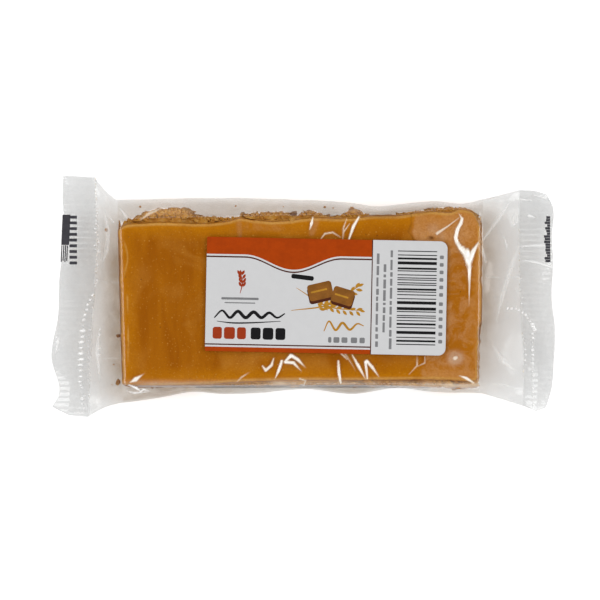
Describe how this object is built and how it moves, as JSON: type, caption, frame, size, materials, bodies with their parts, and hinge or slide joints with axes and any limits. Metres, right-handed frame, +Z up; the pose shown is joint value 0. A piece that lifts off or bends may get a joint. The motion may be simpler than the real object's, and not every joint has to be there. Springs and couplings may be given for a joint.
{
  "type": "wrapped oat bar",
  "caption": "Rectangular baked oat bar with a smooth caramel-coloured top, sealed in a clear film pack with crimped end fins and paper labels on front and back.",
  "frame": {"origin": "centre of the pack's footprint, on the surface that it lies on", "axes": "+X along the bar towards the right fin with the front label's header at the far side, +Y across the bar away from the viewer, +Z up through the caramel top"},
  "size_m": [0.1514, 0.0725, 0.0165],
  "materials": {
    "film": "clear glossy polypropylene film, finely crimped at both ends",
    "label_paper": "smooth white printed label",
    "caramel": "smooth waxy caramel-coloured topping",
    "oats": "baked rolled oats, crumbly",
    "ink": "grey-black printed marks"
  },
  "bodies": {
    "root": {"film_pack": "film", "front_label": "label_paper", "back_label": "label_paper"}
  },
  "joints": []
}
